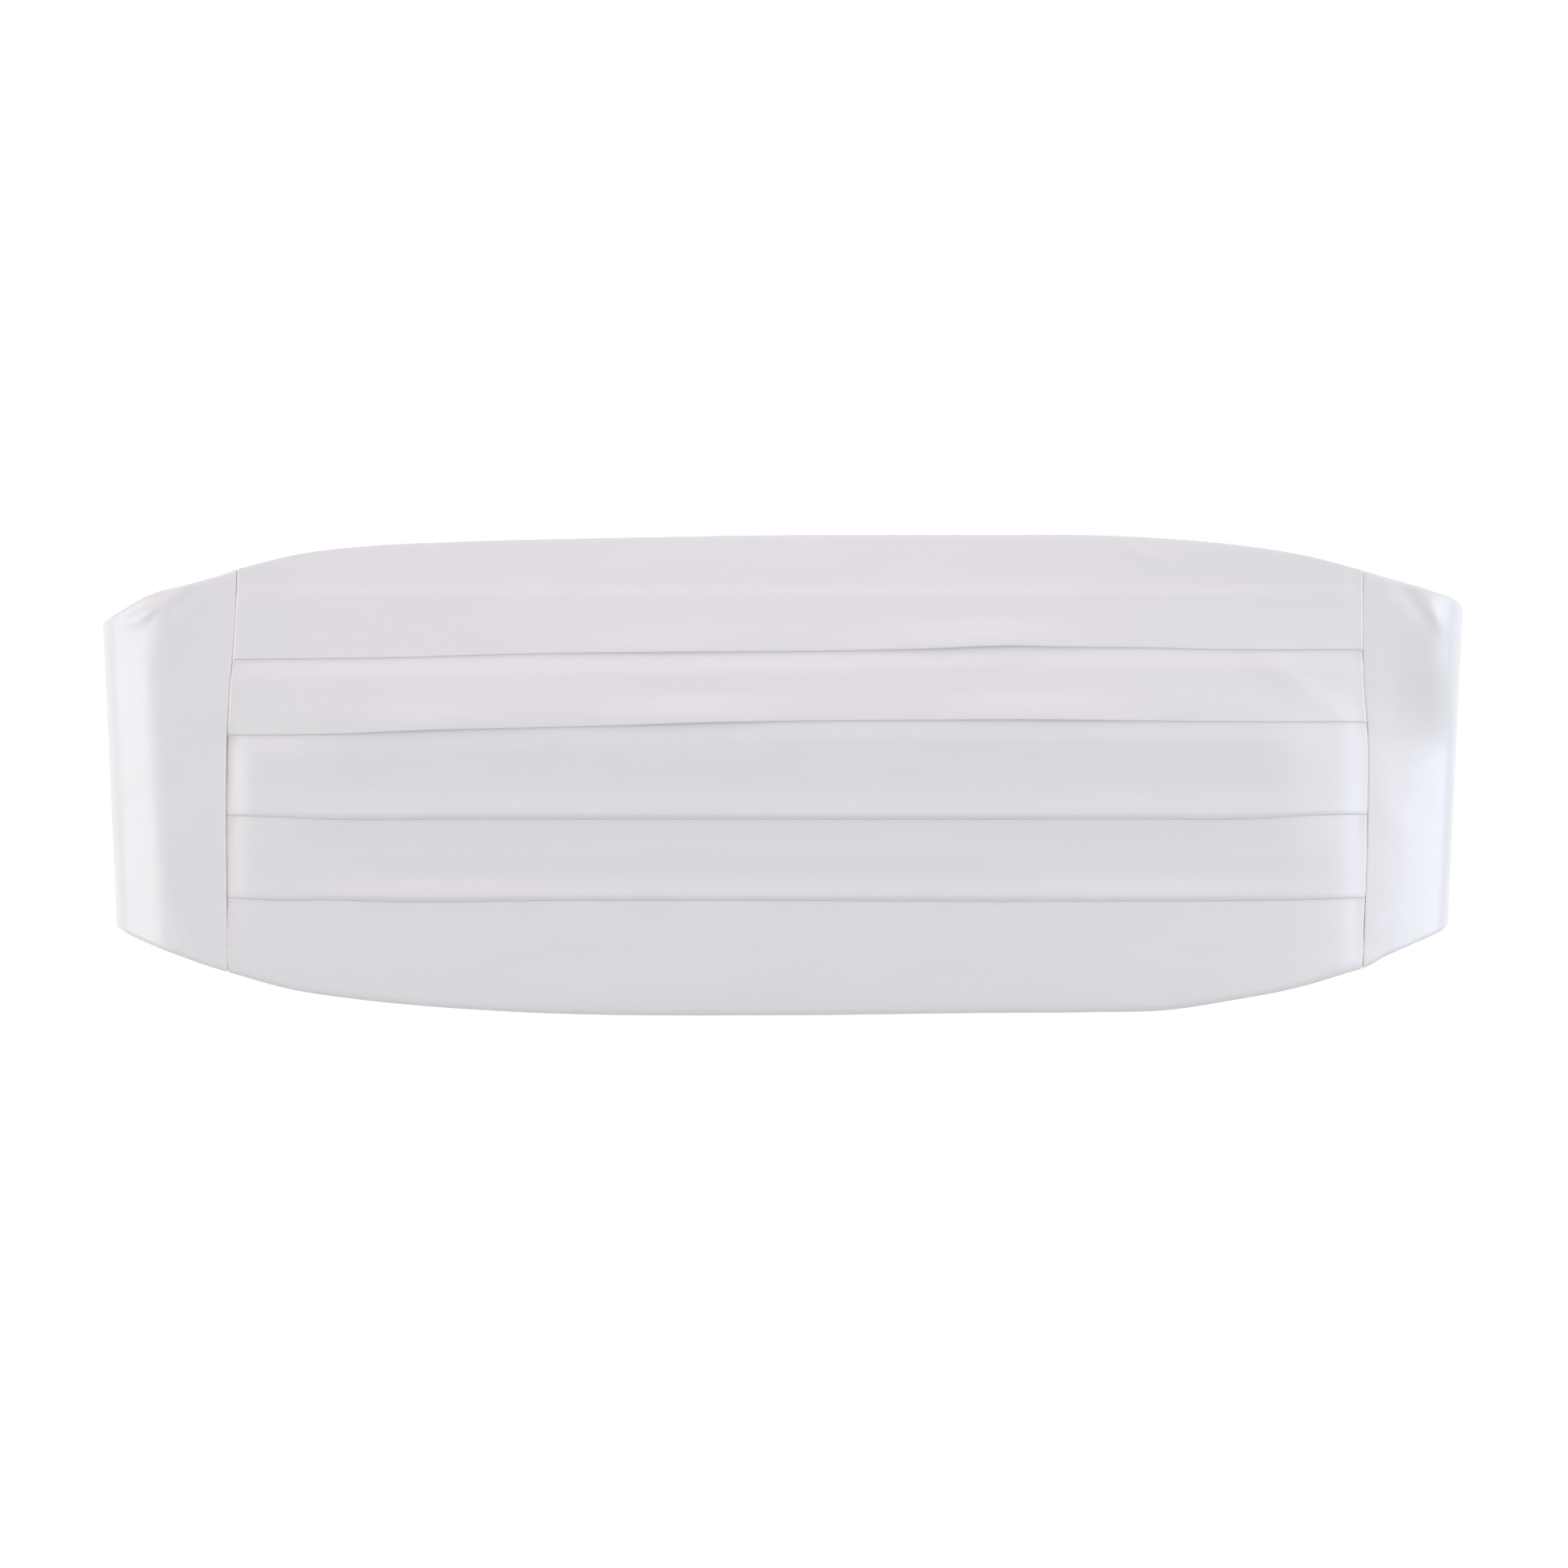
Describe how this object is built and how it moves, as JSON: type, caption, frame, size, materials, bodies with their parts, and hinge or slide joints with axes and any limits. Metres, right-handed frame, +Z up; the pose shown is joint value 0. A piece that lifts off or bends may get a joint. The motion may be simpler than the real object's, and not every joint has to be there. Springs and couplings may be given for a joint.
{
  "type": "cummerbund",
  "caption": "Satin cummerbund laid on its back: horizontal knife pleats, tapering end panels rolled under, and elastic straps joined behind by a plain clasp.",
  "frame": {"origin": "on the surface it lies on, under the middle of the whole object", "axes": "+X along the band towards the right fold, +Y up the body as worn, +Z up from the surface to the pleated face"},
  "size_m": [0.3676, 0.13, 0.018],
  "materials": {
    "satin": "woven satin with a soft sheen",
    "elastic": "matt ribbed elastic webbing",
    "clasp": "smooth moulded plastic"
  },
  "bodies": {
    "root": {"pleated_front": "satin", "end_panel_left": "satin", "end_panel_right": "satin", "strap_left": "elastic", "strap_right": "elastic", "clasp": "clasp"}
  },
  "joints": []
}
